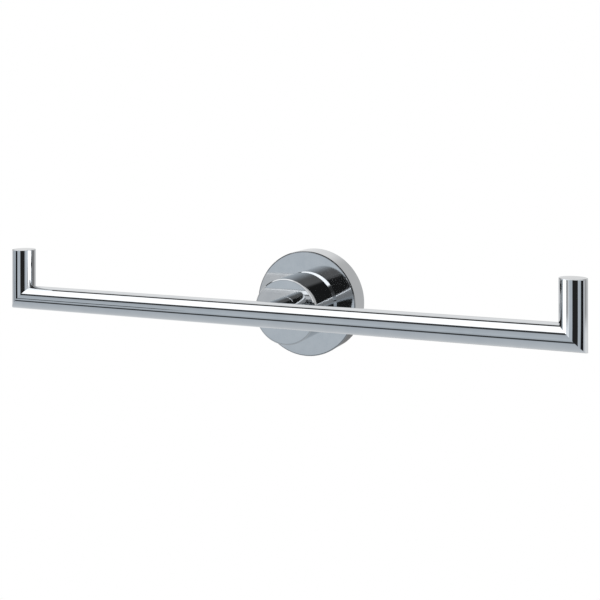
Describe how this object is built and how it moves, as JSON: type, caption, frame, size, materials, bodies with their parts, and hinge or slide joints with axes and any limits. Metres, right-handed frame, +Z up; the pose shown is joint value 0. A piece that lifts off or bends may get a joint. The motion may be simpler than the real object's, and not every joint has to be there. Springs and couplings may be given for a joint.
{
  "type": "double toilet roll holder",
  "caption": "Wall-mounted straight bar with upturned ends on a central neck, boss and round rosette; holds toilet rolls on both sides.",
  "frame": {"origin": "centre of the round rosette on the wall plane, where the wall plate's back face lies", "axes": "+Z up, +X along the bar, +Y into the wall; the holder stands out from the wall towards -Y"},
  "size_m": [0.292, 0.0983, 0.054],
  "materials": {
    "chrome_plate": "mirror-polished chrome plating on brass",
    "zinc_casting": "zinc-plated casting, dull grey",
    "steel": "bright zinc-plated steel",
    "brass": "plain turned brass",
    "nylon": "grey nylon"
  },
  "bodies": {
    "wall_bracket": {"wall_plate": "zinc_casting", "wall_screw_upper": "steel", "wall_screw_lower": "steel", "screw_washer_upper": "steel", "screw_washer_lower": "steel", "wall_plug_upper": "nylon", "wall_plug_lower": "nylon"},
    "holder": {"rosette_cover": "chrome_plate", "boss": "chrome_plate", "boss_dowel": "steel", "neck": "chrome_plate", "clamp_bolt": "steel", "clamp_washer": "steel", "spring_washer": "steel", "bar_tube": "chrome_plate", "bar_insert": "brass", "post_left": "chrome_plate", "post_right": "chrome_plate", "post_cap_left": "chrome_plate", "post_cap_right": "chrome_plate"},
    "set_screw": {"grub_screw": "steel"}
  },
  "joints": [
    {"name": "holder_lift_off", "type": "slide", "parent": "wall_bracket", "child": "holder", "axis": [0, -1, 0], "range_m": [0, 0.02]},
    {"name": "grub_screw_travel", "type": "slide", "parent": "holder", "child": "set_screw", "axis": [0, 0, -1], "range_m": [0, 0.003]}
  ]
}
